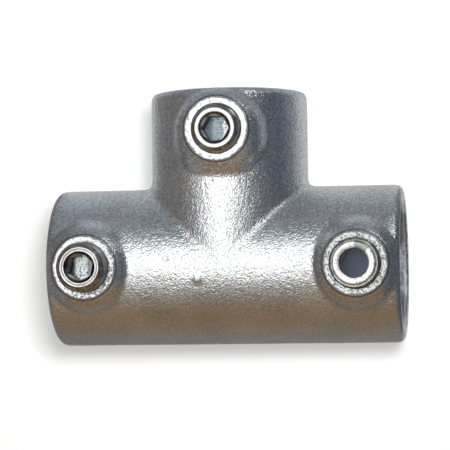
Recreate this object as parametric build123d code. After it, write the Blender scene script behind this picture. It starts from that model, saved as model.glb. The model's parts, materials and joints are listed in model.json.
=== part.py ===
from build123d import *
import math
import os

# Three-socket tube clamp tee: a cast body with a straight run along X, a branch along +Y,
# and one threaded set screw over each socket, all three facing +Z.
# The run and branch axes meet at the origin. Millimetres.

# Tube and sockets
tube_radius = 21.2
tube_clearance = 0.5
bore_radius = tube_radius + tube_clearance
wall = 5.3
run_radius = bore_radius + wall
branch_wall_relief = 0.2
branch_radius = run_radius - branch_wall_relief
run_length = 119.4
branch_reach = 59.6
mouth_chamfer = 1.2
end_round = 2.8
crotch_round = 2.6

# Tube stop inside the branch: a cast shoulder level with the crotch, round a smaller window
stop_lip = 3.2
window_radius = bore_radius - stop_lip
stop_face = run_radius + crotch_round
window_chamfer = 0.8

# Bosses that carry the set screws
screw_to_end = 14.1
run_screw_x = run_length / 2 - screw_to_end
branch_screw_y = branch_reach - screw_to_end
boss_height = 3.1
boss_face_z = run_radius + boss_height
boss_face_radius = 10.7
boss_brow_radius = 13.7
boss_brow_drop = 1.8
boss_base_radius = 16.4
boss_base_sink = 0.55
boss_base_z = math.sqrt(run_radius**2 - boss_base_radius**2) - boss_base_sink
boss_foot_round = 1.5
boss_seam_turn = 45.0

# Set screws: 3/8 inch parallel pipe thread, 8 mm hexagon socket
screw_radius = 8.33
thread_clearance = 0.05
screw_hole_radius = screw_radius + thread_clearance
hole_chamfer = 0.35
screw_length = 11.9
hex_across_flats = 8.0
socket_depth = 8.6
tip_chamfer = 1.3
cup_radius = 5.2
cup_depth = 1.6

# Rolled rim: a high lip inside a wide bevel
lip_outer_radius = 6.75
lip_crest_radius = 6.35
lip_inner_radius = 5.4
lip_drop = 0.4
shoulder_chamfer_drop = 1.7

# Flat rim: a plain face with a small outer chamfer and a round mouth
flat_outer_radius = 7.6
flat_mouth_radius = 4.85
flat_mouth_depth = 1.4
flat_chamfer_drop = 0.7

# How far each screw stands above its boss, and how its hexagon is turned
left_stand = 7.0
right_stand = 5.3
branch_stand = 3.6
left_turn = 20.0
right_turn = 0.0
branch_turn = 0.0

# Overlap that keeps cutting tools clear of the faces they pass through
overrun = 2.0
same = 0.01

screw_sites = {
    "left": (-run_screw_x, 0),
    "right": (run_screw_x, 0),
    "branch": (0, branch_screw_y),
}


def along_x(radius, length):
    """Cylinder centred on the origin, along the run."""
    return Cylinder(radius, length, rotation=(0, 90, 0))


def along_y(radius, start, stop):
    """Cylinder on the branch axis between two distances from the run axis."""
    middle = (start + stop) / 2
    return Pos(0, middle, 0) * Cylinder(radius, stop - start, rotation=(90, 0, 0))


def points_on(edge, count=7):
    """Evenly spaced points from one end of an edge to the other."""
    return [edge.position_at(k / (count - 1)) for k in range(count)]


def curved(edge):
    """True for the free-form edges where two round faces meet."""
    return edge.geom_type not in (GeomType.CIRCLE, GeomType.LINE)


def crossed_bars():
    """Run and branch as solid bars, longer than needed, filleted where they meet."""
    spare = boss_base_radius
    run = along_x(run_radius, run_length + spare * 2)
    branch = along_y(branch_radius, 0, branch_reach + spare)
    bars = run + branch
    return fillet([edge for edge in bars.edges() if curved(edge)], crotch_round)


def boss(x, y):
    """Domed boss about a screw axis, with a flat top for the tapped hole."""
    profile = Polyline(
        (0, 0, boss_base_z),
        (0, 0, boss_face_z),
        (boss_face_radius, 0, boss_face_z),
        (boss_brow_radius, 0, boss_face_z - boss_brow_drop),
        (boss_base_radius, 0, boss_base_z),
        close=True,
    )
    dome = revolve(make_face(profile), axis=Axis.Z)
    return Pos(x, y, 0) * Rot(0, 0, boss_seam_turn) * dome


def foot_edges(body, x, y):
    """Edges where a boss's flank runs into the bars."""
    found = []
    for edge in body.edges():
        points = points_on(edge)
        reach = [math.hypot(p.X - x, p.Y - y) for p in points]
        around = min(reach) > boss_face_radius + same and max(reach) < boss_base_radius + wall
        below = max(p.Z for p in points) < boss_face_z - same
        if curved(edge) and around and below:
            found.append(edge)
    return found


def end_edges(body, on_end):
    """Outer edges that lie wholly in one end plane."""
    return [edge for edge in body.edges() if all(on_end(p) for p in points_on(edge))]


def outer_form():
    """Bars and bosses, blended at the bosses' feet, trimmed to length and rounded at the ends."""
    form = crossed_bars()
    for x, y in screw_sites.values():
        form += boss(x, y)
        form = fillet(foot_edges(form, x, y), boss_foot_round)
    form &= Box(run_length, branch_reach * 2, branch_reach * 2)
    half = run_length / 2
    form = fillet(end_edges(form, lambda p: abs(p.X - half) < same), end_round)
    form = fillet(end_edges(form, lambda p: abs(p.X + half) < same), end_round)
    return fillet(end_edges(form, lambda p: abs(p.Y - branch_reach) < same), end_round)


def hollow():
    """Everything the sockets take out: run bore, branch socket and the window between them."""
    run = along_x(bore_radius, run_length + overrun)
    socket = along_y(bore_radius, stop_face, branch_reach + overrun)
    window = along_y(window_radius, 0, stop_face + overrun)
    return run + socket + window


def mouth_edges(body):
    """Inner edges at the three open ends."""
    half = run_length / 2
    found = []
    for edge in body.edges():
        points = points_on(edge)
        run_mouth = all(abs(abs(p.X) - half) < same for p in points)
        branch_mouth = all(abs(p.Y - branch_reach) < same for p in points)
        across = [math.hypot(p.Y, p.Z) if run_mouth else math.hypot(p.X, p.Z) for p in points]
        if (run_mouth or branch_mouth) and max(across) < bore_radius + same:
            found.append(edge)
    return found


def inner_rim(body):
    """Round edge of the window on the face of the tube stop."""
    rims = body.edges().filter_by(GeomType.CIRCLE)
    on_stop = [edge for edge in rims if abs(edge.center().Y - stop_face) < same]
    return [edge for edge in on_stop if abs(edge.radius - window_radius) < same]


def screw_hole(x, y):
    """Plain hole at the thread's major diameter, lightly broken at its top edge."""
    low = bore_radius - overrun
    high = boss_face_z + overrun
    hole = Pos(x, y, (low + high) / 2) * Cylinder(screw_hole_radius, high - low)
    lead_in = Pos(x, y, boss_face_z - hole_chamfer / 2) * Cone(
        screw_hole_radius, screw_hole_radius + hole_chamfer, hole_chamfer
    )
    return hole + lead_in


def make_body():
    """The single casting."""
    body = outer_form() - hollow()
    body = chamfer(mouth_edges(body), mouth_chamfer)
    body = chamfer(inner_rim(body), window_chamfer)
    for x, y in screw_sites.values():
        body -= screw_hole(x, y)
    return body


def screw_blank(rim, shoulder_z, floor_z):
    """Solid of revolution: cup point and thread below, then the given rim; top at z = 0."""
    tip = -screw_length
    lower = Polyline(
        (0, 0, floor_z),
        (0, 0, tip + cup_depth),
        (cup_radius, 0, tip),
        (screw_radius - tip_chamfer, 0, tip),
        (screw_radius, 0, tip + tip_chamfer),
        (screw_radius, 0, shoulder_z),
    )
    return revolve(make_face([lower, rim]), axis=Axis.Z)


def rolled_rim_blank():
    """Blank whose hexagon mouth is ringed by a high lip over a wide bevel."""
    shoulder_z = -lip_drop - shoulder_chamfer_drop
    rim = Polyline(
        (screw_radius, 0, shoulder_z),
        (lip_outer_radius, 0, -lip_drop),
        (lip_crest_radius, 0, 0),
        (lip_inner_radius, 0, 0),
        (0, 0, -lip_inner_radius),
    )
    return screw_blank(rim, shoulder_z, -lip_inner_radius)


def flat_rim_blank():
    """Blank with a flat face and a plain round mouth over the hexagon."""
    rim = Polyline(
        (screw_radius, 0, -flat_chamfer_drop),
        (flat_outer_radius, 0, 0),
        (flat_mouth_radius, 0, 0),
        (flat_mouth_radius, 0, -flat_mouth_depth),
        (0, 0, -flat_mouth_depth),
    )
    return screw_blank(rim, -flat_chamfer_drop, -flat_mouth_depth)


def hex_socket(turn):
    """Flat-bottomed hexagonal recess for the key."""
    circumradius = hex_across_flats / math.sqrt(3)
    return extrude(RegularPolygon(circumradius, 6, rotation=turn), -socket_depth)


def set_screw(blank, site, stand, turn):
    """Cut the hexagon and seat the screw at its height above the boss."""
    x, y = screw_sites[site]
    return Pos(x, y, boss_face_z + stand) * (blank - hex_socket(turn))


nodes = {
    "tee_body": make_body(),
    "set_screw_left": set_screw(rolled_rim_blank(), "left", left_stand, left_turn),
    "set_screw_right": set_screw(flat_rim_blank(), "right", right_stand, right_turn),
    "set_screw_branch": set_screw(rolled_rim_blank(), "branch", branch_stand, branch_turn),
}

os.makedirs("parts", exist_ok=True)
for name, solid in nodes.items():
    solid.label = name
    export_step(solid, f"parts/{name}.step")
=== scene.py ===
import json
import math

import bmesh
import bpy
from bpy.props import FloatProperty, FloatVectorProperty, IntProperty, PointerProperty
from bpy.types import Operator, Panel, PropertyGroup
from mathutils import Matrix, Vector


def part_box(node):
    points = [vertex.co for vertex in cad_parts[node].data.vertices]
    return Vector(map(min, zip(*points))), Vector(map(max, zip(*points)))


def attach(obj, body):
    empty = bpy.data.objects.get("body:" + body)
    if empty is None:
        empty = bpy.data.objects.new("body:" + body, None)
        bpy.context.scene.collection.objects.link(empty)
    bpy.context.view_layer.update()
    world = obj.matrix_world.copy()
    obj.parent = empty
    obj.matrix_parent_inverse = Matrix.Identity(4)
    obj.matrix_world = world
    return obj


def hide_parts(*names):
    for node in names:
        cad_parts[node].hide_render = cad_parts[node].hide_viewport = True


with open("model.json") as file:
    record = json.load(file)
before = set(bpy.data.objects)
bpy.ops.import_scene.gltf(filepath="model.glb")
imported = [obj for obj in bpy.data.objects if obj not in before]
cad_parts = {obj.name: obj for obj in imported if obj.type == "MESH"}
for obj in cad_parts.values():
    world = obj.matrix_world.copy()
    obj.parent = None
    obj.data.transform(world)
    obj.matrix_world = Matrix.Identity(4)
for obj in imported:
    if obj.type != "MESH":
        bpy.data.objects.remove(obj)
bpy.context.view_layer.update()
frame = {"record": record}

bl_info = {
    "name": "Tube Clamp Tee",
    "version": (1, 0, 0),
    "blender": (4, 5, 0),
    "location": "View3D > Sidebar > Clamp Tee",
    "description": "A galvanised tube clamp tee with three set screws",
    "category": "Object",
}

# The part lies on its back: the run is along X, the branch along +Y and the set screws face +Z.

MM = 0.001
FULL_TURN = 2 * math.pi
END_DRAW = 0.15 * MM  # the soft outer blend draws each end plane back by this much
DRIP_CENTRE = (-7.5 * MM, -4.0 * MM, 24.2 * MM)  # a small drip of zinc that set on the run
DRIP_RADIUS = 3.0 * MM

CASTING = "tee_body"
SITES = ("left", "right", "branch")

# Finishes by their number on each piece
ZINC, FACE, TAPPED, BORE = range(4)
PLATING, WALL, FLOOR, THREAD, CONE, BEVEL = range(6)


# ---- sizes read from the frame

def screw_place(site):
    """Axis and top of a set screw in the frame: (x, y, top z)."""
    low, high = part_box(f"set_screw_{site}")
    return (low.x + high.x) / 2, (low.y + high.y) / 2, high.z


casting_low, casting_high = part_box(CASTING)
screw_low, screw_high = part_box("set_screw_branch")
PLACES = {site: screw_place(site) for site in SITES}
MOUNTS = {mount["name"]: mount for mount in frame["record"]["mounts"]}
SOCKET = MOUNTS["branch_socket"]
BORE_RADIUS = MOUNTS["run_bore"]["dims"]["r_mm"] * MM
STOP_FACE = SOCKET["pos_m"][1] - SOCKET["dims"]["length_mm"] * MM / 2


def length(name, description, default):
    """A length in metres that a user may change."""
    return FloatProperty(name=name, description=description, default=default, unit="LENGTH", precision=5)


def angle(name, description, default):
    """An angle in radians."""
    return FloatProperty(name=name, description=description, default=default, subtype="ANGLE")


def colour(name, description, default):
    """A colour that a user may change."""
    return FloatVectorProperty(
        name=name, description=description, default=default, size=3, min=0.0, max=1.0, subtype="COLOR"
    )


class CastingSizes(PropertyGroup):
    """Sizes of the casting."""

    run_length: length("Run length", "Straight run, mouth to mouth",
                       casting_high.x - casting_low.x + 2 * END_DRAW)
    branch_reach: length("Branch reach", "From the run's axis to the branch's mouth",
                         casting_high.y + END_DRAW)
    run_radius: length("Run radius", "Outside radius of the run", -casting_low.z)
    branch_radius: length("Branch radius", "Outside radius of the branch", -casting_low.z)
    bore_radius: length("Bore radius", "Inside radius of all three sockets", BORE_RADIUS)
    window_radius: length("Window radius", "Opening behind the tube stop", BORE_RADIUS - 3.2 * MM)
    stop_face: length("Stop face", "From the run's axis to the tube stop", STOP_FACE)
    run_screw_x: length("Run screw", "From the branch's axis to a run screw", PLACES["right"][0])
    branch_screw_y: length("Branch screw", "From the run's axis to the branch screw", PLACES["branch"][1])
    boss_face: length("Boss face height", "Height of the flat boss faces", casting_high.z)
    face_radius: length("Boss face radius", "Radius of a flat boss face", 10.7 * MM)
    brow_radius: length("Boss brow radius", "Radius where the dome turns down", 13.7 * MM)
    brow_drop: length("Boss brow drop", "Drop from the face to the brow", 1.8 * MM)
    foot_radius: length("Boss foot radius", "Radius at the foot of the flank", 16.4 * MM)
    foot_height: length("Boss foot height", "Height of the foot of the flank", 20.9 * MM)
    boss_root: length("Boss root", "Height down to which a boss is filled", 10.0 * MM)
    brow_blend: length("Brow blend", "Softness of the boss's brow", 3.5 * MM)
    foot_round: length("Foot round", "Fillet round a boss's foot", 1.2 * MM)
    crotch_round: length("Crotch round", "Fillet where run and branch meet", 2.7 * MM)
    end_blend: length("End blend", "Softness of the outer ends", 4.3 * MM)
    apron: length("Apron", "How much further the branch boss runs out towards the run", 2.4 * MM)
    mouth_blend: length("Mouth blend", "Softness of the inner mouths", 2.1 * MM)
    wave_height: length("Wave height", "Height of the casting's broad waves", 0.11 * MM)
    wave_size: length("Wave size", "Width of the casting's broad waves", 14.0 * MM)
    peel_height: length("Peel height", "Height of the zinc skin's lumps", 0.05 * MM)
    peel_size: length("Peel size", "Width of the zinc skin's lumps", 3.2 * MM)


class ScrewSizes(PropertyGroup):
    """Sizes of the set screws and of their tapped holes."""

    radius: length("Thread radius", "Radius over the thread's crests", (screw_high.x - screw_low.x) / 2)
    length: length("Length", "Overall length", screw_high.z - screw_low.z)
    pitch: length("Pitch", "Travel for one turn", 1.337 * MM)
    depth: length("Thread depth", "Crest to root", 0.856 * MM)
    play: length("Thread play", "Gap between the screw and its tapped hole", 0.08 * MM)
    hexagon: length("Hexagon", "Across the flats of the socket", 8.0 * MM)
    socket_depth: length("Socket depth", "From the top to the socket's floor", 8.6 * MM)
    segments: IntProperty(name="Segments", description="Steps round the thread", default=72, min=12)
    rows: IntProperty(name="Rows a turn", description="Steps along one pitch", default=8, min=4)


class Finishes(PropertyGroup):
    """Colours of the zinc and the screws."""

    zinc_light: colour("Zinc, light", "Clean zinc", (0.80, 0.81, 0.825))
    zinc_dark: colour("Zinc, dark", "Weathered zinc", (0.49, 0.503, 0.517))
    face_light: colour("Boss face, light", "Zinc on the flat boss faces", (0.64, 0.65, 0.645))
    face_dark: colour("Boss face, dark", "Grit on the flat boss faces", (0.13, 0.14, 0.137))
    plating: colour("Screw plating", "Bright plated steel", (0.68, 0.672, 0.655))
    bevel: colour("Bevel steel", "Duller steel of the bevel below a rolled lip", (0.50, 0.48, 0.45))
    thread: colour("Thread steel", "Duller steel of the rolled threads", (0.42, 0.42, 0.43))
    # painted shade: the tapped holes are dark for the shade in the gap round each screw
    tapped: colour("Tapped steel", "Oily metal of the tapped holes", (0.20, 0.19, 0.18))
    # painted reflection: the brown that the far side of a socket's mouth cone would mirror
    oily: colour("Oily cone", "Stained cone at a socket's mouth", (0.36, 0.31, 0.22))


class StageSettings(PropertyGroup):
    """Floor and camera."""

    turn: angle("Turn", "Camera turned about the branch axis", 0.156)
    tilt: angle("Tilt", "Camera tipped towards the run's far side", 0.0332)
    roll: angle("Roll", "Camera rolled about its view", -0.0142)
    distance: length("Distance", "Camera to the view's centre", 678.4 * MM)
    aim_x: length("Aim across", "View centre right of the origin", -2.29 * MM)
    aim_y: length("Aim up", "View centre above the origin", 14.25 * MM)
    lens: FloatProperty(name="Lens", description="Focal length in millimetres", default=156.6, min=1.0)
    floor: colour("Floor", "Pale floor", (0.52, 0.52, 0.52))


# ---- node helpers

def node(tree, kind, inputs=None, **settings):
    """Add a node, with its settings and its named inputs."""
    made = tree.nodes.new(kind)
    for key, value in settings.items():
        setattr(made, key, value)
    for key, value in (inputs or {}).items():
        feed(tree, made.inputs[key], value)
    return made


def feed(tree, socket, value):
    """Link or set one input."""
    if isinstance(value, Amount):
        value = value.socket
    if isinstance(value, bpy.types.NodeSocket):
        tree.links.new(value, socket)
    else:
        socket.default_value = value


class Amount:
    """A number carried by a node tree, so that a formula can be written as one line."""

    def __init__(self, tree, socket):
        self.tree = tree
        self.socket = socket

    def join(self, operation, *values):
        """Work out one math node from the given values."""
        made = node(self.tree, "ShaderNodeMath", dict(enumerate(values)), operation=operation)
        return Amount(self.tree, made.outputs[0])

    def __add__(self, other):
        return self.join("ADD", self, other)

    def __sub__(self, other):
        return self.join("SUBTRACT", self, other)

    def __rsub__(self, other):
        return self.join("SUBTRACT", other, self)

    def __mul__(self, other):
        return self.join("MULTIPLY", self, other)

    def __truediv__(self, other):
        return self.join("DIVIDE", self, other)

    def __rtruediv__(self, other):
        return self.join("DIVIDE", other, self)

    def __neg__(self):
        return self.join("MULTIPLY", self, -1.0)

    def __gt__(self, other):
        return self.join("GREATER_THAN", self, other)

    def __lt__(self, other):
        return self.join("LESS_THAN", self, other)

    def size(self):
        return self.join("ABSOLUTE", self)

    def root(self):
        return self.join("SQRT", self)

    def least(self, other, blend=0.0):
        return self.join("SMOOTH_MIN", self, other, blend)

    def most(self, other, blend=0.0):
        return self.join("SMOOTH_MAX", self, other, blend)


def parts(tree, vector):
    """The three parts of a vector."""
    split = node(tree, "ShaderNodeSeparateXYZ", {"Vector": vector})
    return [Amount(tree, split.outputs[axis]) for axis in "XYZ"]


def away(first, second):
    """Distance from an axis, given the two offsets from it."""
    return (first * first + second * second).root()


def turn_about(x, y):
    """Angle about an axis, given the two offsets from it."""
    return x.join("ARCTAN2", y, x)


def from_nearest_screw(x, y, run_screw_x, branch_screw_y):
    """Distance from the nearest of the three screw axes."""
    return away(x.size() - run_screw_x, y).least(away(x, y - branch_screw_y))


def fillet(radius, alike):
    """Blend that rounds an inner corner to a radius; alike is the cosine between the two skins' normals."""
    return radius * 6.0 * (1.0 - ((alike + 1.0) * 0.5).most(0.0).root())


def new_group(name, outlet, kind):
    """Empty node group with one output."""
    tree = bpy.data.node_groups.new(name, "GeometryNodeTree")
    tree.interface.new_socket(outlet, in_out="OUTPUT", socket_type=kind)
    return tree


def group_inputs(tree, names, kind="NodeSocketFloat"):
    """Add named inputs to a node group."""
    for name in names:
        tree.interface.new_socket(name, in_out="INPUT", socket_type=kind)


def end_group(tree, geometry, material):
    """Close a geometry tree with Realize Instances and Set Material."""
    real = node(tree, "GeometryNodeRealizeInstances", {"Geometry": geometry})
    painted = node(tree, "GeometryNodeSetMaterial", {"Geometry": real.outputs[0], "Material": material})
    node(tree, "NodeGroupOutput", {"Geometry": painted.outputs[0]})


def settle(piece):
    """Turn a piece and its live modifiers into one plain mesh."""
    bpy.context.view_layer.update()
    graph = bpy.context.evaluated_depsgraph_get()
    mesh = bpy.data.meshes.new_from_object(piece.evaluated_get(graph), depsgraph=graph)
    piece.modifiers.clear()
    piece.data = mesh


def run_nodes(piece, group, values):
    """Put a piece through a node group with the given inputs, and keep the plain mesh that comes out."""
    modifier = piece.modifiers.new(group.name, "NODES")
    modifier.node_group = group
    for item in group.interface.items_tree:
        if item.item_type == "SOCKET" and item.in_out == "INPUT" and item.name in values:
            modifier[item.identifier] = values[item.name]
    settle(piece)


def put(name, points=(), faces=()):
    """Place a mesh in the scene as an object at the origin."""
    mesh = bpy.data.meshes.new(name)
    mesh.from_pydata(points, [], faces)
    mesh.update()
    piece = bpy.data.objects.new(name, mesh)
    bpy.context.scene.collection.objects.link(piece)
    return piece


# ---- casting form

def size_names(group):
    """(attribute, name) of each size in a property group."""
    return [(key, group.bl_rna.properties[key].name) for key in group.__annotations__]


def casting_distance_tree():
    """Distance from any place to the casting's skin, below zero inside the metal."""
    names = size_names(CastingSizes)
    tree = new_group("Casting distance", "Distance", "NodeSocketFloat")
    group_inputs(tree, ["Place"], "NodeSocketVector")
    group_inputs(tree, [name for _, name in names])
    given = node(tree, "NodeGroupInput")
    size = {key: Amount(tree, given.outputs[name]) for key, name in names}
    x, y, z = parts(tree, given.outputs["Place"])
    along = x.size()
    top_stock = 0.5 * MM  # metal above the boss faces, which are then cut flat
    flank_out, flank_up = 0.94, 0.34  # direction in which a boss's flank faces

    def dome(from_axis, flank_axis):
        """Boss about a screw axis: two cones with a soft brow, flat on top."""
        rise = size["brow_drop"]
        run = size["brow_radius"] - size["face_radius"]
        slope = away(run, rise)
        crown = ((from_axis - size["face_radius"]) * rise + (z - size["boss_face"]) * run) / slope
        fall = size["boss_face"] - size["brow_drop"] - size["foot_height"]
        widening = size["foot_radius"] - size["brow_radius"]
        lean = away(fall, widening)
        flank = ((flank_axis - size["foot_radius"]) * fall + (z - size["foot_height"]) * widening) / lean
        skin = crown.most(flank, size["brow_blend"])
        skin = skin.most(z - size["boss_face"] - top_stock, 0.6 * MM)
        return skin.most(size["boss_root"] - z)

    def with_boss(tube, across, from_axis, flank_axis, beside):
        """Join a boss to its tube, given the distance from the tube's axis and the offset from the screw."""
        alike = (beside / from_axis.most(MM)) * (beside / across) * flank_out + (z / across) * flank_up
        return (across - tube).least(dome(from_axis, flank_axis), fillet(size["foot_round"], alike))

    run_across = away(y, z)
    branch_across = away(x, z)
    from_run_screw = away(along - size["run_screw_x"], y)
    run = with_boss(size["run_radius"], run_across, from_run_screw, from_run_screw, y)
    run = run.most(along - size["run_length"] * 0.5, size["end_blend"])
    beyond = y - size["branch_screw_y"]
    drawn = beyond.most(0.0) + (beyond + size["apron"]).least(0.0)
    branch = with_boss(size["branch_radius"], branch_across, away(x, beyond), away(x, drawn), x)
    branch = branch.most(y - size["branch_reach"], size["end_blend"]).most(-y)
    alike = (z / run_across) * (z / branch_across)
    outside = run.least(branch, fillet(size["crotch_round"] * (alike * 0.8 + 1.0), alike))

    run_bore = run_across - size["bore_radius"]
    socket = (branch_across - size["bore_radius"]).most(size["stop_face"] - y)
    window = (branch_across - size["window_radius"]).most(-y)
    window_blend, bore_blend = 1.6 * MM, 1.2 * MM
    hollow = run_bore.least(socket.least(window, window_blend), bore_blend)
    skin = outside.most(-hollow, size["mouth_blend"])

    def lumps(width, seed):
        """Smooth random field, from -0.5 to 0.5, of the given width."""
        shifted = node(tree, "ShaderNodeVectorMath", {0: given.outputs["Place"], 1: (seed, seed, seed)},
                       operation="ADD")
        made = node(tree, "ShaderNodeTexNoise",
                    {"Vector": shifted.outputs[0], "Scale": 1.0 / width, "Detail": 1.0, "Roughness": 0.5})
        return Amount(tree, made.outputs[0]) - 0.5

    skin = skin - lumps(size["wave_size"], 0.31) * size["wave_height"]
    skin = skin - lumps(size["peel_size"], 0.57) * size["peel_height"]

    from_drip = [value - place for value, place in zip((x, y, z), DRIP_CENTRE)]
    drip = away(away(*from_drip[:2]), from_drip[2]) - DRIP_RADIUS
    node(tree, "NodeGroupOutput", {"Distance": skin.least(drip, 0.5 * MM)})
    return tree


def casting_tree(distance_tree):
    """Fill a block of cells with the casting's distance, skin it, and draw the skin onto the exact form."""
    tree = new_group("Cast tee", "Geometry", "NodeSocketGeometry")
    names = [name for _, name in size_names(CastingSizes)]
    group_inputs(tree, ["Low corner", "High corner"], "NodeSocketVector")
    group_inputs(tree, ["Cells X", "Cells Y", "Cells Z"], "NodeSocketInt")
    group_inputs(tree, ["Zinc"], "NodeSocketMaterial")
    group_inputs(tree, names)
    given = node(tree, "NodeGroupInput")

    def distance():
        place = node(tree, "GeometryNodeInputPosition")
        inputs = {"Place": place.outputs[0], **{name: given.outputs[name] for name in names}}
        return Amount(tree, node(tree, "GeometryNodeGroup", inputs, node_tree=distance_tree).outputs[0])

    block = node(tree, "GeometryNodeVolumeCube", {
        "Density": distance() * (-1 / MM),  # in millimetres, above zero inside the metal
        "Background": -5.0,
        "Min": given.outputs["Low corner"],
        "Max": given.outputs["High corner"],
        **{f"Resolution {axis}": given.outputs[f"Cells {axis}"] for axis in "XYZ"},
    })
    skin = node(tree, "GeometryNodeVolumeToMesh", {"Volume": block.outputs["Volume"], "Threshold": 0.0})
    skin.resolution_mode = "GRID"
    geometry = skin.outputs["Mesh"]
    for _ in range(3):
        normal = node(tree, "GeometryNodeInputNormal")
        step = node(tree, "ShaderNodeVectorMath",
                    {0: normal.outputs[0], "Scale": -distance()}, operation="SCALE")
        moved = node(tree, "GeometryNodeSetPosition", {"Geometry": geometry, "Offset": step.outputs[0]})
        geometry = moved.outputs["Geometry"]
    smooth = node(tree, "GeometryNodeSetShadeSmooth", {"Geometry": geometry})
    end_group(tree, smooth.outputs[0], given.outputs["Zinc"])
    return tree


# ---- turned pieces and threads

def thread_tree():
    """Roll a right-handed thread into the side of a turned blank that stands on its own axis."""
    tree = new_group("Thread", "Geometry", "NodeSocketGeometry")
    names = ("Axis X", "Axis Y", "Crest radius", "Pitch", "Depth", "Lowest", "Highest")
    group_inputs(tree, ["Geometry"], "NodeSocketGeometry")
    group_inputs(tree, names)
    group_inputs(tree, ["Metal"], "NodeSocketMaterial")
    given = node(tree, "NodeGroupInput")
    axis_x, axis_y, crest, pitch, depth, lowest, highest = [
        Amount(tree, given.outputs[name]) for name in names]
    x, y, z = parts(tree, node(tree, "GeometryNodeInputPosition").outputs[0])
    x = x - axis_x
    y = y - axis_y
    radius = away(x, y)
    turns = z / pitch - turn_about(x, y) / FULL_TURN
    ridge = 1.0 - (turns.join("FRACT", turns) * 2.0 - 1.0).size()
    flat = 0.12  # share of a turn that is flat at the crest and at the root
    flank = node(tree, "ShaderNodeMapRange", {"Value": ridge, "From Min": flat, "From Max": 1.0 - flat},
                 interpolation_type="SMOOTHSTEP")
    limit = crest - depth * (1.0 - Amount(tree, flank.outputs["Result"]))
    shrink = radius.least(limit) / radius.most(0.1 * MM)
    target = node(tree, "ShaderNodeCombineXYZ", {"X": x * shrink + axis_x, "Y": y * shrink + axis_y, "Z": z})
    side = (z > lowest) * (z < highest) * (radius > crest - depth)
    moved = node(tree, "GeometryNodeSetPosition", {
        "Geometry": given.outputs["Geometry"], "Selection": side, "Position": target.outputs[0]})
    end_group(tree, moved.outputs[0], given.outputs["Metal"])
    return tree


def ring(x, y, radius, height, count, start=0.0):
    """Even points round an upright axis."""
    turns = [start + FULL_TURN * k / count for k in range(count)]
    return [(x + radius * math.cos(turn), y + radius * math.sin(turn), height) for turn in turns]


def turned(name, outline, x, y, segments):
    """Closed piece turned about an upright axis; its outline runs from top centre to bottom centre."""
    rings = outline[1:-1]
    points = [point for radius, height in rings for point in ring(x, y, radius, height, segments)]
    top = len(points)
    points += [(x, y, outline[0][1]), (x, y, outline[-1][1])]
    faces = []
    last = (len(rings) - 1) * segments
    for k in range(segments):
        after = (k + 1) % segments
        faces.append((top, k, after))
        faces.append((top + 1, last + after, last + k))
        for a in range(0, last, segments):
            b = a + segments
            faces.append((a + k, b + k, b + after, a + after))
    return put(name, points, faces)


def thread_rows(high, low, step):
    """Heights on a common grid between two ends, ends included, highest first."""
    clear = 0.3  # of a step, so that no row crowds an end
    first = math.floor(high / step - clear)
    final = math.ceil(low / step + clear)
    return [high] + [k * step for k in range(first, final - 1, -1)] + [low]


def bevel_rows(inner, high, low, sizes):
    """Points down a bevel, close enough together for the thread to run out into it."""
    count = max(2, round((high - low) / (sizes.pitch / sizes.rows)))
    return [(inner + (sizes.radius - inner) * k / count, high + (low - high) * k / count)
            for k in range(count)]


def dropped(top, rows):
    """Outline points from (radius, drop below the top) pairs in millimetres."""
    return [(radius * MM, top - drop * MM) for radius, drop in rows]


def screw_tip(sizes, top):
    """Cup point of a set screw, from the end of the thread to the bottom centre."""
    low = top - sizes.length
    shoulder = [(0.65, 0.65), (1.2, 0.12), (1.5, 0.0)]
    cup = [(5.45, 0.0), (5.1, 0.12), (2.4, 1.1), (0.0, 1.6)]
    return [(sizes.radius - inset * MM, low + rise * MM) for inset, rise in shoulder] + [
        (radius * MM, low + rise * MM) for radius, rise in cup]


def rolled_rim(sizes, top, grooved):
    """Outline of a screw with a high flat lip round its socket and a wide bevel; then the bevel's foot."""
    foot = top - 2.1 * MM
    mouth = [(0.0, 3.4), (2.6, 3.0), (4.3, 1.75), (5.0, 0.75), (5.22, 0.25)]
    plain_lip = [(5.32, 0.06), (5.42, 0.0)]
    grooved_lip = [(5.32, 0.12), (5.42, 0.08), (5.86, 0.10), (5.94, 0.22), (6.02, 0.10), (6.10, 0.0)]
    outside = [(6.5, 0.0), (6.64, 0.04), (6.74, 0.16), (6.79, 0.4), (6.82, 0.62)]
    rows = mouth + (grooved_lip if grooved else plain_lip) + outside
    return dropped(top, rows) + bevel_rows(6.95 * MM, top - 0.72 * MM, foot, sizes), foot


def flat_rim(sizes, top):
    """Outline of a screw with a grooved, worn face and a plain round mouth; then the chamfer's foot."""
    foot = top - 0.75 * MM
    mouth = [(0.0, 1.9), (3.0, 1.9), (4.68, 1.7), (4.72, 0.95), (4.76, 0.3), (4.84, 0.1)]
    face = [(5.0, 0.0), (6.4, 0.0), (7.2, 0.0), (7.28, 0.16), (7.38, 0.16), (7.48, 0.04)]
    return dropped(top, mouth + face) + bevel_rows(7.85 * MM, top - 0.1 * MM, foot, sizes), foot


def key_recess(name, sizes, x, y, top, turn):
    """Closed cutter for the hexagon, with the shallow cone that its drill leaves in the floor."""
    corner = sizes.hexagon / math.sqrt(3)
    floor = top - sizes.socket_depth
    cone = 0.45 * MM
    points = [point for height in (top + 2 * MM, floor)
              for point in ring(x, y, corner, height, 6, math.radians(turn))]
    centre = len(points)
    points.append((x, y, floor - cone))
    faces = [tuple(range(6))]
    for k in range(6):
        after = (k + 1) % 6
        faces.append((k, 6 + k, 6 + after, after))
        faces.append((6 + k, centre, 6 + after))
    return put(name, points, faces)


def cut(piece, cutters):
    """Take closed cutters out of a piece and remove them from the scene."""
    for cutter in cutters:
        modifier = piece.modifiers.new("Cut", "BOOLEAN")
        modifier.operation = "DIFFERENCE"
        modifier.solver = "MANIFOLD"
        modifier.object = cutter
    settle(piece)
    for cutter in cutters:
        bpy.data.objects.remove(cutter)


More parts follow.
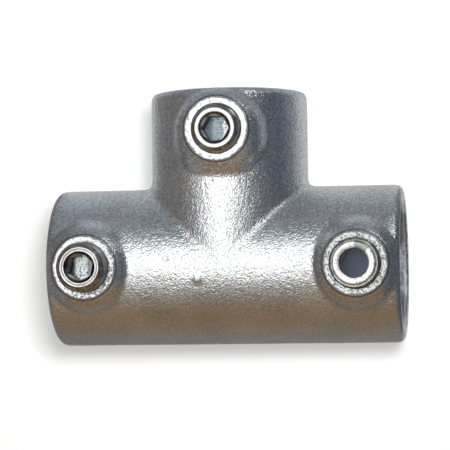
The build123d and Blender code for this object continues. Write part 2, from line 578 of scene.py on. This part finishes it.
def cut_thread(piece, x, y, crest, sizes, low, high, metal):
    """Roll the thread into a turned blank."""
    run_nodes(piece, bpy.data.node_groups.get("Thread") or thread_tree(), {
        "Axis X": x, "Axis Y": y, "Crest radius": crest, "Pitch": sizes.pitch, "Depth": sizes.depth,
        "Lowest": low, "Highest": high, "Metal": metal,
    })


def finish_faces(piece, materials, choose, crease):
    """Give each face its finish, smooth the skin and keep the cut edges crisp."""
    mesh = piece.data
    mesh.materials.clear()
    for material in materials:
        mesh.materials.append(material)
    shape = bmesh.new()
    shape.from_mesh(mesh)
    bmesh.ops.remove_doubles(shape, verts=shape.verts, dist=0.0005 * MM)
    for face in shape.faces:
        face.material_index = choose(face.calc_center_median(), face.normal)
        face.smooth = True
    slight = 0.2  # radians between two finishes that still flow into each other
    for edge in shape.edges:
        if len(edge.link_faces) == 2:
            first, second = edge.link_faces
            apart = first.normal.angle(second.normal, 0.0)
            changes = first.material_index != second.material_index
            turned_face = first.material_index > 0 and apart > crease
            edge.smooth = not (changes and apart > slight or turned_face)
    shape.to_mesh(mesh)
    shape.free()


# ---- finishes

def blank_tree(owner):
    """Node tree of a material or a world, emptied."""
    owner.use_nodes = True
    owner.node_tree.nodes.clear()
    return owner.node_tree


def new_material(name):
    """Empty material and its tree."""
    material = bpy.data.materials.new(name)
    return material, blank_tree(material)


def coordinates(tree):
    """Object coordinates: the vector, then its three parts."""
    place = node(tree, "ShaderNodeTexCoord").outputs["Object"]
    return place, *parts(tree, place)


def noise(tree, scale, detail=2.0, roughness=0.5, vector=None):
    """Noise on object coordinates; scale is in features a metre."""
    vector = vector or node(tree, "ShaderNodeTexCoord").outputs["Object"]
    made = node(tree, "ShaderNodeTexNoise",
                {"Vector": vector, "Scale": scale, "Detail": detail, "Roughness": roughness})
    return Amount(tree, made.outputs[0])


def spread(value, low, high, to_low=0.0, to_high=1.0):
    """Stretch a value between two limits."""
    made = node(value.tree, "ShaderNodeMapRange", {
        "Value": value, "From Min": low, "From Max": high, "To Min": to_low, "To Max": to_high})
    return Amount(value.tree, made.outputs["Result"])


def blend_colour(amount, first, second):
    """Mix two colours."""
    made = node(amount.tree, "ShaderNodeMix", {"Factor": amount}, data_type="RGBA")
    for socket, value in ((made.inputs[6], first), (made.inputs[7], second)):
        feed(amount.tree, socket, value if isinstance(value, bpy.types.NodeSocket) else (*value, 1.0))
    return made.outputs[2]


def tinted(tree, base, tint):
    """Multiply a colour by a tint."""
    made = node(tree, "ShaderNodeMix", {"Factor": 1.0, 6: base, 7: tint},
                data_type="RGBA", blend_type="MULTIPLY", clamp_result=False)
    return made.outputs[2]


def shades(colour, share):
    """A colour darkened to a share of itself."""
    return [part * share for part in colour]


def metal(material, base, roughness, relief, metallic=1.0):
    """Metal skin; relief holds (height, distance in metres, strength where it isn't 1), coarsest first."""
    tree = material.node_tree
    shader = node(tree, "ShaderNodeBsdfPrincipled",
                  {"Base Color": base, "Metallic": metallic, "Roughness": roughness})
    node(tree, "ShaderNodeOutputMaterial", {"Surface": shader.outputs[0]})
    normal = None
    for height, distance, *strength in relief:
        made = node(tree, "ShaderNodeBump",
                    {"Height": height, "Distance": distance, "Strength": strength[0] if strength else 1.0})
        if normal:
            tree.links.new(normal, made.inputs["Normal"])
        normal = made.outputs[0]
    tree.links.new(normal, shader.inputs["Normal"])
    return material


def zinc_material(finishes, sizes):
    """Hot-dip zinc on rough cast iron: mottled, orange-peel skin with fine pits."""
    material, tree = new_material("galvanised zinc")
    place, x, y, z = coordinates(tree)
    broad = noise(tree, 55.0, 3.0, 0.55)
    grain = noise(tree, 800.0, 2.0, 0.6)
    fine = noise(tree, 1450.0, 1.0)
    smooth_flank = spread(y, -16 * MM, -6 * MM, 0.4, 1.0)
    grit = (grain * 0.3 + fine * 0.7 - 0.5) * smooth_flank + 0.5
    tone = spread(broad * 0.25 + grit * 0.75, 0.40, 0.60)
    base = blend_colour(tone, finishes.zinc_dark, finishes.zinc_light)
    tint = spread(noise(tree, 1300.0, 1.0), 0.35, 0.65)
    base = tinted(tree, base, blend_colour(tint, (0.97, 1.0, 1.03), (1.03, 1.0, 0.96)))

    cells = node(tree, "ShaderNodeTexVoronoi", {"Vector": place, "Scale": 260.0, "Randomness": 1.0})
    rare = spread(noise(tree, 150.0, 1.0), 0.52, 0.60)
    pit = (1.0 - spread(Amount(tree, cells.outputs["Distance"]), 0.06, 0.16)) * rare
    base = blend_colour(pit * 0.4, base, (0.16, 0.16, 0.16))

    from_boss = from_nearest_screw(x, y, sizes.run_screw_x, sizes.branch_screw_y)
    high = spread(z, sizes.boss_face - 4 * MM, sizes.boss_face - 2 * MM)
    # painted shade: a dark line just outside each boss face stands for the shade in a fine groove that the
    # form lacks
    painted_groove_shade = 1.0 - spread((from_boss - sizes.face_radius - 0.35 * MM).size(), 0.1 * MM, 0.45 * MM)
    base = blend_colour(painted_groove_shade * high * 0.65, base, (0.08, 0.08, 0.085))

    rings = from_boss / (0.9 * MM) * FULL_TURN
    on_dome = high * (1.0 - spread(from_boss, 15 * MM, 17 * MM))
    return metal(material, base, spread(noise(tree, 260.0, 3.0, 0.6), 0.3, 0.7, 0.17, 0.27), [
        (noise(tree, 330.0), 0.04 * MM),
        (rings.join("SINE", rings) * on_dome, 0.010 * MM),
        (noise(tree, 850.0, 2.0, 0.6), 0.17 * MM),
        (noise(tree, 1800.0, 1.0), 0.16 * MM),
        (1.0 - pit, 0.08 * MM),
    ])


def bore_material(finishes, sizes):
    """Dull, drossy zinc in the sockets, with painted shade away from the run's middle; clean at the mouths.
    """
    material, tree = new_material("bore zinc")
    _, x, y, _ = coordinates(tree)
    dross = noise(tree, 600.0, 3.0, 0.65)
    base = blend_colour(spread(dross, 0.38, 0.60), (0.14, 0.15, 0.17), (0.44, 0.47, 0.51))
    ragged = (noise(tree, 260.0, 3.0, 0.6) - 0.5) * 9 * MM
    # painted shade: the bore darkens away from the middle of the run, and the branch socket all along
    shade = spread((y + ragged + 1.5 * MM).size(), 7 * MM, 11 * MM)
    base = blend_colour(shade * 0.8, base, (0.07, 0.075, 0.095))
    from_mouth = (sizes.run_length / 2 - x.size()).least(sizes.branch_reach - y) + ragged * 0.1
    mouth = spread(from_mouth, 1.7 * MM, 0.8 * MM)
    clean = [(light + dark) / 2 for light, dark in zip(finishes.zinc_light, finishes.zinc_dark)]
    return metal(material, blend_colour(mouth, base, clean), spread(mouth, 0.0, 1.0, 0.52, 0.28), [
        (noise(tree, 300.0), 0.18 * MM),
        (noise(tree, 1100.0), 0.12 * MM),
    ], metallic=spread(mouth, 0.0, 1.0, 0.35, 1.0))


def face_material(finishes, sizes):
    """Flat boss faces: bright zinc, grittier on the right boss and on the left one's lower side."""
    material, tree = new_material("boss face zinc")
    _, x, y, _ = coordinates(tree)
    right = spread(x, 20 * MM, 30 * MM)
    left = spread(x, -20 * MM, -30 * MM)
    lower = spread((x + sizes.run_screw_x) * 0.6 - y, 2 * MM, 9 * MM) * left
    grit = noise(tree, 1200.0, 3.0, 0.65) - right * 0.06 - lower * 0.10
    base = blend_colour(spread(grit, 0.36, 0.44), finishes.face_dark, finishes.face_light)
    base = tinted(tree, base, blend_colour(right, (1.0, 1.0, 1.0), (0.84, 0.88, 0.86)))
    from_boss = from_nearest_screw(x, y, sizes.run_screw_x, sizes.branch_screw_y)
    ragged = from_boss + (noise(tree, 520.0, 3.0, 0.65) - 0.5) * 2.0 * MM
    # the face darkens in a ragged band just inside its edge
    dark_face_rim = spread(ragged, sizes.face_radius - 0.65 * MM, sizes.face_radius - 0.25 * MM)
    base = blend_colour(dark_face_rim, base, (0.13, 0.135, 0.14))
    return metal(material, base, spread(noise(tree, 400.0), 0.3, 0.7, 0.28, 0.38), [
        (noise(tree, 620.0, 3.0, 0.6), 0.12 * MM),
        (noise(tree, 1700.0, 2.0, 0.6), 0.07 * MM),
    ])


def plating_material(finishes):
    """Bright plated screw steel with a faint turned grain and a worn patch on the right screw."""
    material, tree = new_material("screw plating")
    _, x, y, _ = coordinates(tree)
    x = x - PLACES["right"][0]
    y = y - PLACES["right"][1]
    out = away(x, y)
    here = 1.0 - spread(out, 9 * MM, 10 * MM)
    turn = turn_about(x, y) + (noise(tree, 500.0) - 0.5) * 0.5
    patch = 1.0 - spread((turn - math.radians(68)).size(), math.radians(20), math.radians(26))
    wander = noise(tree, 420.0, 4.0, 0.6)
    scratch = 1.0 - spread(noise(tree, 1500.0, 3.0, 0.7), 0.40, 0.52)
    side = spread(x * 0.8 - y * 0.4, 0.5 * MM, 6.0 * MM)
    grooves = node(tree, "ShaderNodeCombineXYZ", {"X": out, "Y": turn * 2.5 * MM})
    turned_grain = noise(tree, 2600.0, 2.0, 0.6, grooves.outputs[0])
    # the right screw's face darkens in a ragged ring from its groove outwards
    dark_rim_ring = spread(out - (wander - 0.5) * 1.2 * MM, 7.2 * MM, 7.6 * MM)
    base = blend_colour(spread(wander, 0.38, 0.52), (0.52, 0.515, 0.50), finishes.plating)
    base = blend_colour(side * here * scratch, base, (0.34, 0.34, 0.33))
    base = blend_colour(spread(turned_grain, 0.42, 0.37) * here, base, (0.13, 0.13, 0.125))
    base = blend_colour(dark_rim_ring * here * 0.8, base, (0.20, 0.20, 0.195))
    base = blend_colour(patch * here, base, (0.25, 0.25, 0.24))
    return metal(material, base, spread(noise(tree, 900.0, 3.0), 0.3, 0.7, 0.20, 0.34), [
        (noise(tree, 600.0), 0.05 * MM, 0.5),
        (noise(tree, 2200.0), 0.012 * MM, 0.6),
    ])


def speckled_steel(name, colour, contrast, roughness, relief):
    """Speckled steel; contrast is how far its dark specks drop; its dark colours in holes are painted shade.
    """
    material, tree = new_material(name)
    specks = spread(noise(tree, 1500.0, 3.0, 0.7), 0.38, 0.55)
    base = blend_colour(specks, shades(colour, 1.0 - contrast), colour)
    return metal(material, base, roughness, [(noise(tree, 1400.0, 3.0, 0.7), relief)])


def bevel_material(finishes, sizes):
    """Dull bevel round a lip, painted nearly black as shade where it meets the tapped hole."""
    material, tree = new_material("lip bevel")
    _, x, y, _ = coordinates(tree)
    from_screw = from_nearest_screw(x, y, PLACES["right"][0], PLACES["branch"][1])
    edge = from_screw + (noise(tree, 300.0, 3.0, 0.6) - 0.5) * 0.9 * MM
    # painted shade: the bevel turns nearly black next to the tapped hole, in the gap round the screw
    painted_gap_shade = spread(edge, sizes.radius - 0.45 * MM, sizes.radius - 0.05 * MM)
    smears = spread(noise(tree, 500.0, 3.0, 0.65), 0.40, 0.60)
    base = blend_colour(smears, shades(finishes.bevel, 0.45), finishes.bevel)
    base = blend_colour(painted_gap_shade, base, (0.05, 0.05, 0.055))
    return metal(material, base, 0.26, [(noise(tree, 700.0, 3.0, 0.6), 0.05 * MM)])


def cone_material(name, place, near_tone, far_tone, shine):
    """Socket mouth cone in painted reflection: browner on the far side, a painted highlight at the near
    left.
    """
    material, tree = new_material(name)
    _, x, y, _ = coordinates(tree)
    x = x - place[0]
    y = y - place[1]
    wander = (noise(tree, 700.0, 3.0, 0.6) - 0.5) * 2.0 * MM
    # painted reflection: the near tone turns to the far tone towards the far side
    far = spread(y + wander, 0.4 * MM, 3.0 * MM)
    # painted highlight: a pale patch at the near left, facing the side light
    painted_highlight = spread(wander - x * 0.5 - y, 2.2 * MM, 3.4 * MM)
    base = blend_colour(far, near_tone, far_tone)
    base = blend_colour(painted_highlight * shine, base, (0.62, 0.63, 0.58))
    return metal(material, base, 0.32, [(noise(tree, 1300.0, 3.0, 0.65), 0.03 * MM)])


def socket_floor(name, place, tones, edges, grit):
    """Punched hexagon floor in painted light and shade: three tones left to right, ragged edges, dark
    specks.
    """
    material, tree = new_material(name)
    _, x, _, _ = coordinates(tree)
    ragged = x - place[0] + (noise(tree, 1100.0, 3.0, 0.7) - 0.5) * 1.6 * MM
    # painted light and shade: the tones stand for the shade, reflection and light on the socket's floor
    left, middle, right = tones
    base = blend_colour(spread(ragged, edges[0] - 0.5 * MM, edges[0] + 0.5 * MM), left, middle)
    base = blend_colour(spread(ragged, edges[1] - 0.2 * MM, edges[1] + 0.2 * MM), base, right)
    specks = spread(noise(tree, 1500.0, 2.0, 0.6), 0.46, 0.38) * grit
    base = blend_colour(specks, base, left)
    return metal(material, base, 0.22, [(noise(tree, 1400.0, 3.0, 0.7), 0.06 * MM, grit)])


# ---- casting

def cast_form(sizes, zinc):
    """The casting before its bosses are faced and tapped."""
    # the finer one stays under 200,000 triangles
    cell = 0.84 * MM  # edge of one cell; the casting comes out under 200,000 triangles
    margin = Vector((2.5 * cell,) * 3)
    headroom = 0.6 * MM
    low = Vector((-sizes.run_length / 2, -sizes.run_radius, -sizes.run_radius)) - margin
    high = Vector((sizes.run_length / 2, sizes.branch_reach, sizes.boss_face + headroom)) + margin
    values = {name: getattr(sizes, key) for key, name in size_names(CastingSizes)}
    values |= {"Low corner": low, "High corner": high, "Zinc": zinc}
    for axis, span in zip("XYZ", high - low):
        values[f"Cells {axis}"] = round(span / cell)
    piece = put("tee_casting")
    run_nodes(piece, casting_tree(casting_distance_tree()), values)
    if not piece.data.polygons:
        raise RuntimeError("the casting's form came out empty")
    return piece


def tap(site, sizes, threads, crest, lead, tapped):
    """Closed cutter that faces one boss and taps its hole."""
    x, y, _ = PLACES[site]
    face = sizes.boss_face
    floor = sizes.bore_radius - 2.2 * MM
    step = threads.pitch / threads.rows
    clear_height, clear_radius = 3 * MM, 12.5 * MM
    outline = [
        (0.0, face + clear_height),
        (clear_radius, face + clear_height),
        (clear_radius, face),
        (crest + lead, face),
    ]
    outline += [(crest, height) for height in thread_rows(face - lead, floor, step)] + [(0.0, floor)]
    cutter = turned(f"{site}_tap", outline, x, y, threads.segments)
    cut_thread(cutter, x, y, crest, threads, floor - step, face - lead / 2, tapped)
    return cutter


class TEE_OT_casting(Operator):
    """Make the galvanised casting with its tapped bosses"""

    bl_idname = "tee.casting"
    bl_label = "Casting"

    def execute(self, context):
        sizes = context.scene.tee_casting
        threads = context.scene.tee_screws
        finishes = context.scene.tee_finishes
        zinc = zinc_material(finishes, sizes)
        face = face_material(finishes, sizes)
        # the tapped holes' dark steel is painted shade of the gap round each screw
        tapped = speckled_steel("tapped thread", finishes.tapped, 0.5, 0.40, 0.03 * MM)
        bore = bore_material(finishes, sizes)
        crest = threads.radius + threads.play
        lead = 0.14 * MM
        piece = cast_form(sizes, zinc)
        cut(piece, [tap(site, sizes, threads, crest, lead, tapped) for site in SITES])
        face_reach, hole_core = 12 * MM, 6 * MM
        hole_foot = sizes.bore_radius - 1.5 * MM
        bore_skin = sizes.bore_radius + 0.3 * MM

        def choose(centre, normal):
            on_top = abs(centre.z - sizes.boss_face) < 0.02 * MM and normal.z > 0.99
            for x, y, _ in PLACES.values():
                out = math.hypot(centre.x - x, centre.y - y)
                if out < face_reach and on_top:
                    return FACE
                if hole_core < out < crest + lead and centre.z > hole_foot:
                    return TAPPED
            in_run = math.hypot(centre.y, centre.z) < bore_skin
            in_branch = math.hypot(centre.x, centre.z) < bore_skin and centre.y > 0
            return BORE if in_run or in_branch else ZINC

        finish_faces(piece, (zinc, face, tapped, bore), choose, crease=math.radians(35))
        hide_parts(CASTING)
        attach(piece, "casting")
        return {"FINISHED"}


# ---- set screws

# What sets each screw apart. turn: of its hexagon, in degrees. run_out: drop to the top of its thread.
# mouth, bevel and thread: radii where its socket ends and where the bevel's and the thread's finish start.
# wall: colour, contrast, roughness and relief; the dark left and branch walls are painted shade.
# floor: tones from left to right, painted light and shade in the left and branch sockets,
# where they meet, and grit.
# cone: near tone and far tone, painted reflection and shade (None takes the finishes' far reflection),
# and how strong the painted highlight at its near left is.
ROLLED = {"run_out": 0.90 * MM, "mouth": 5.20 * MM, "bevel": 6.83 * MM, "thread": 8.15 * MM}
FLAT = {"run_out": 0.08 * MM, "mouth": 4.76 * MM, "bevel": 7.90 * MM, "thread": 8.20 * MM}
SCREWS = {
    "left": {
        **ROLLED,
        "turn": 20.0,
        "wall": ((0.02, 0.024, 0.04), 0.3, 0.30, 0.03 * MM),
        "floor": (((0.04, 0.045, 0.065), (0.36, 0.39, 0.37), (0.15, 0.16, 0.18)),
                  (-3.2 * MM, 0.95 * MM), 1.0),
        "cone": ((0.06, 0.06, 0.07), None, 1.0),
    },
    "right": {
        **FLAT,
        "turn": 0.0,
        "wall": ((0.92, 0.94, 0.96), 0.0, 0.08, 0.0),
        "floor": (((0.036, 0.042, 0.055),) * 3, (0.0, 0.0), 0.05),
        "cone": ((0.06, 0.06, 0.07), None, 0.0),
    },
    "branch": {
        **ROLLED,
        "turn": 0.0,
        "wall": ((0.19, 0.19, 0.215), 0.3, 0.30, 0.03 * MM),
        "floor": (((0.07, 0.09, 0.11), (0.15, 0.18, 0.20), (0.34, 0.37, 0.39)),
                  (-2.0 * MM, 1.6 * MM), 0.9),
        "cone": ((0.48, 0.51, 0.56), (0.64, 0.57, 0.44), 0.15),
    },
}


def screw_blank(site, sizes, plating):
    """Turned and threaded screw with its key recess."""
    x, y, top = PLACES[site]
    screw = SCREWS[site]
    outline, shoulder = flat_rim(sizes, top) if site == "right" else rolled_rim(sizes, top, site == "left")
    foot = top - sizes.length + 1.3 * MM
    rows = thread_rows(shoulder, foot, sizes.pitch / sizes.rows)
    outline += [(sizes.radius, height) for height in rows] + screw_tip(sizes, top)
    piece = turned(f"{site}_set_screw", outline, x, y, sizes.segments)
    cut_thread(piece, x, y, sizes.radius, sizes, top - sizes.length, top - screw["run_out"], plating)
    cut(piece, [key_recess(f"{site}_key", sizes, x, y, top, screw["turn"])])
    return piece


def screw_finish(site, sizes):
    """Rule that picks the finish of a screw's face from its centre and normal."""
    x, y, top = PLACES[site]
    screw = SCREWS[site]
    flat = site == "right"
    ledge = 1.2 * MM if flat else sizes.socket_depth - 0.02 * MM
    floor_reach, groove_edge = 4.7 * MM, 7.45 * MM
    rim_foot = top - 2 * MM
    cone_foot = top - 4 * MM
    socket_foot = top - sizes.socket_depth - 0.6 * MM

    def choose(centre, normal):
        out = math.hypot(centre.x - x, centre.y - y)
        if centre.z < top - ledge and out < floor_reach and normal.z > 0.5:
            return FLOOR
        if out < screw["mouth"] and centre.z > socket_foot:
            return CONE if normal.z > 0.3 and centre.z > cone_foot and not flat else WALL
        if out > screw["thread"] or centre.z < rim_foot:
            return THREAD
        run_out_flank = flat and out > groove_edge and centre.z < top - 0.14 * MM
        return BEVEL if out > screw["bevel"] or run_out_flank else PLATING

    return choose


class TEE_OT_set_screws(Operator):
    """Make the three threaded set screws"""

    bl_idname = "tee.set_screws"
    bl_label = "Set screws"

    def execute(self, context):
        sizes = context.scene.tee_screws
        finishes = context.scene.tee_finishes
        plating = plating_material(finishes)
        thread = speckled_steel("screw thread", finishes.thread, 0.35, 0.32, 0.02 * MM)
        bevel = bevel_material(finishes, sizes)
        for site, place in PLACES.items():
            screw = SCREWS[site]
            near_tone, far_tone, shine = screw["cone"]
            wall = speckled_steel(f"{site} socket wall", *screw["wall"])
            floor = socket_floor(f"{site} socket floor", place, *screw["floor"])
            cone = cone_material(f"{site} socket cone", place, near_tone, far_tone or finishes.oily, shine)
            metals = (plating, wall, floor, thread, cone, bevel)
            piece = screw_blank(site, sizes, plating)
            finish_faces(piece, metals, screw_finish(site, sizes), crease=math.radians(28))
            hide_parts(f"set_screw_{site}")
            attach(piece, f"{site}_screw")
        return {"FINISHED"}


# ---- stage

def camera_sees(tree):
    """1 for what the camera sees straight or through glass, else 0."""
    path = node(tree, "ShaderNodeLightPath")
    camera, through = (Amount(tree, path.outputs[name]) for name in ("Is Camera Ray", "Is Transmission Ray"))
    return camera.most(through)


def square(reach, x=0.0, y=0.0, z=0.0):
    """Corners of a level square."""
    return [(x + a * reach, y + b * reach, z) for a, b in ((-1, -1), (1, -1), (1, 1), (-1, 1))]


def studio_floor(stage):
    """Pale floor that the camera sees a little brighter than it is lit, so that it comes out white."""
    floor = put("studio_floor", square(3.0, z=casting_low.z), [(0, 1, 2, 3)])
    material, tree = new_material("pale floor")
    paint = node(tree, "ShaderNodeBsdfDiffuse", {"Color": (*stage.floor, 1.0)})
    glow = node(tree, "ShaderNodeEmission", {"Strength": camera_sees(tree) * 0.45})
    both = node(tree, "ShaderNodeAddShader", {0: paint.outputs[0], 1: glow.outputs[0]})
    node(tree, "ShaderNodeOutputMaterial", {"Surface": both.outputs[0]})
    floor.data.materials.append(material)
    return floor


def reflector(name, corners, paint):
    """Glowing panel that only reflections see; paint(tree, x, y, z) gives the shader of a place on it."""
    piece = put(name, corners, [(0, 1, 2, 3)])
    material, tree = new_material(name)
    _, *place = coordinates(tree)
    node(tree, "ShaderNodeOutputMaterial", {"Surface": paint(tree, *place)})
    piece.data.materials.append(material)
    piece.visible_camera = False
    piece.visible_diffuse = False
    piece.visible_shadow = False
    return piece


def leaning_board(name, foot, outward, width, near, far):
    """Board leaning away from the part, whose tone turns from near, at its foot, to far."""
    across = Vector((-outward[1], outward[0], 0.0)) * (width / 2)
    low = Vector((*foot, casting_low.z + 0.5 * MM))
    reach = rise = 0.13
    turn_from, turn_to = 0.10, 0.32
    high = low + Vector((*outward, 0.0)) * reach + Vector((0.0, 0.0, rise))

    def paint(tree, x, y, z):
        height = spread(z, low.z + rise * turn_from, low.z + rise * turn_to)
        return node(tree, "ShaderNodeEmission", {"Color": blend_colour(height, near, far)}).outputs[0]

    return reflector(name, [low - across, low + across, high + across, high - across], paint)


def overhead_panel(centre, half, glow, width, fall):
    """Soft panel overhead, brightest in the middle and fading to nothing, for soft-edged highlights."""
    x0, y0, _ = centre

    def paint(tree, x, y, z):
        out = away(x - x0, y - y0) / width
        fade = -out.join("POWER", out, fall)
        light = node(tree, "ShaderNodeEmission", {"Strength": fade.join("EXPONENT", fade) * glow})
        clear = node(tree, "ShaderNodeBsdfTransparent")
        return node(tree, "ShaderNodeAddShader", {0: light.outputs[0], 1: clear.outputs[0]}).outputs[0]

    return reflector("overhead_panel", square(half, *centre), paint)


def soft_light(name, place, width, height, power):
    """Rectangular soft box that faces the part."""
    lamp = bpy.data.lights.new(name, "AREA")
    lamp.shape = "RECTANGLE"
    lamp.size = width
    lamp.size_y = height
    lamp.energy = power
    light = bpy.data.objects.new(name, lamp)
    bpy.context.scene.collection.objects.link(light)
    facing = (-Vector(place)).to_track_quat("-Z", "Y")
    light.matrix_world = Matrix.Translation(place) @ facing.to_matrix().to_4x4()
    return light


def studio_air():
    """World whose tone turns with direction, and that the camera sees white."""
    world = bpy.data.worlds.new("studio air")
    tree = blank_tree(world)
    across, along, _ = parts(tree, node(tree, "ShaderNodeTexCoord").outputs["Generated"])
    sides = blend_colour(spread(across, -0.7, 0.7), (0.23, 0.22, 0.215), (0.16, 0.175, 0.20))
    ends = blend_colour(spread(along, -0.7, 0.7), (0.325, 0.265, 0.20), (0.245, 0.29, 0.315))
    air = blend_colour(spread(along.size() - across.size(), -0.35, 0.35), sides, ends)
    air = blend_colour(camera_sees(tree), air, (1.0, 1.0, 1.0))
    back = node(tree, "ShaderNodeBackground", {"Color": air, "Strength": 1.0})
    node(tree, "ShaderNodeOutputWorld", {"Surface": back.outputs[0]})
    return world


def studio_camera(stage):
    """Camera above the part, turned, tipped and rolled about the origin."""
    out = Vector((math.sin(stage.turn) * math.cos(stage.tilt), -math.sin(stage.tilt),
                  math.cos(stage.turn) * math.cos(stage.tilt)))
    flat_right = Vector((0, 1, 0)).cross(out).normalized()
    flat_up = out.cross(flat_right)
    right = flat_right * math.cos(stage.roll) + flat_up * math.sin(stage.roll)
    up = flat_up * math.cos(stage.roll) - flat_right * math.sin(stage.roll)
    place = out * stage.distance + right * stage.aim_x + up * stage.aim_y
    lens = bpy.data.cameras.new("camera")
    lens.lens = stage.lens
    lens.sensor_width = 36.0
    lens.clip_start = 0.05
    lens.clip_end = 20.0
    camera = bpy.data.objects.new("camera", lens)
    bpy.context.scene.collection.objects.link(camera)
    camera.matrix_world = Matrix.Translation(place) @ Matrix((right, up, out)).transposed().to_4x4()
    return camera


class TEE_OT_stage(Operator):
    """Set up the floor, the boards, the light and the camera"""

    bl_idname = "tee.stage"
    bl_label = "Stage"

    def execute(self, context):
        stage = context.scene.tee_stage
        boards = [leaning_board(*board) for board in (
            ("warm_board", (0, -0.034), (0, -1), 0.36, (0.25, 0.235, 0.23), (0.275, 0.19, 0.112)),
            ("cool_board", (0, 0.070), (0, 1), 0.36, (0.47, 0.52, 0.57), (0.275, 0.285, 0.315)),
            ("left_board", (-0.070, 0), (-1, 0), 0.30, (0.24, 0.24, 0.26), (0.20, 0.185, 0.18)),
            ("right_board", (0.070, -0.062), (1, 0), 0.18, (0.10, 0.105, 0.12), (0.105, 0.12, 0.145)),
            ("far_right_board", (0.070, 0.118), (1, 0), 0.18, (0.24, 0.27, 0.30), (0.10, 0.115, 0.14)),
        )]
        panel = overhead_panel((-0.09, 0.085, 0.60), half=1.0, glow=2.9, width=0.24, fall=1.65)
        studio_floor(stage)

        shadow = soft_light("shadow_box", (0.136, 0.080, 0.60), 0.12, 0.12, 4.2)
        shadow.visible_glossy = False
        side = soft_light("side_box", (0.266, 0.367, 0.423), 0.10, 0.65, 0.42)
        side.visible_diffuse = False
        context.scene.world = studio_air()
        context.scene.camera = studio_camera(stage)
        context.scene.view_settings.view_transform = "Standard"
        return {"FINISHED"}


# ---- add-on

class TEE_PT_panel(Panel):
    """Sizes, finishes and stage of the clamp tee"""

    bl_idname = "TEE_PT_panel"
    bl_label = "Tube Clamp Tee"
    bl_space_type = "VIEW_3D"
    bl_region_type = "UI"
    bl_category = "Clamp Tee"

    def draw(self, context):
        layout = self.layout
        for operator in OPERATORS:
            layout.operator(operator.bl_idname)
        for attribute, group in GROUPS.items():
            box = layout.box()
            box.label(text=group.__doc__)
            for key in group.__annotations__:
                box.prop(getattr(context.scene, attribute), key)


GROUPS = {
    "tee_casting": CastingSizes,
    "tee_screws": ScrewSizes,
    "tee_finishes": Finishes,
    "tee_stage": StageSettings,
}
OPERATORS = (TEE_OT_casting, TEE_OT_set_screws, TEE_OT_stage)


def register():
    for attribute, group in GROUPS.items():
        bpy.utils.register_class(group)
        setattr(bpy.types.Scene, attribute, PointerProperty(type=group))
    for kind in (*OPERATORS, TEE_PT_panel):
        bpy.utils.register_class(kind)


def unregister():
    for kind in (TEE_PT_panel, *reversed(OPERATORS)):
        bpy.utils.unregister_class(kind)
    for attribute, group in GROUPS.items():
        delattr(bpy.types.Scene, attribute)
        bpy.utils.unregister_class(group)


def main():
    register()
    bpy.ops.tee.casting()
    bpy.ops.tee.set_screws()
    bpy.ops.tee.stage()


if __name__ == "__main__":
    main()
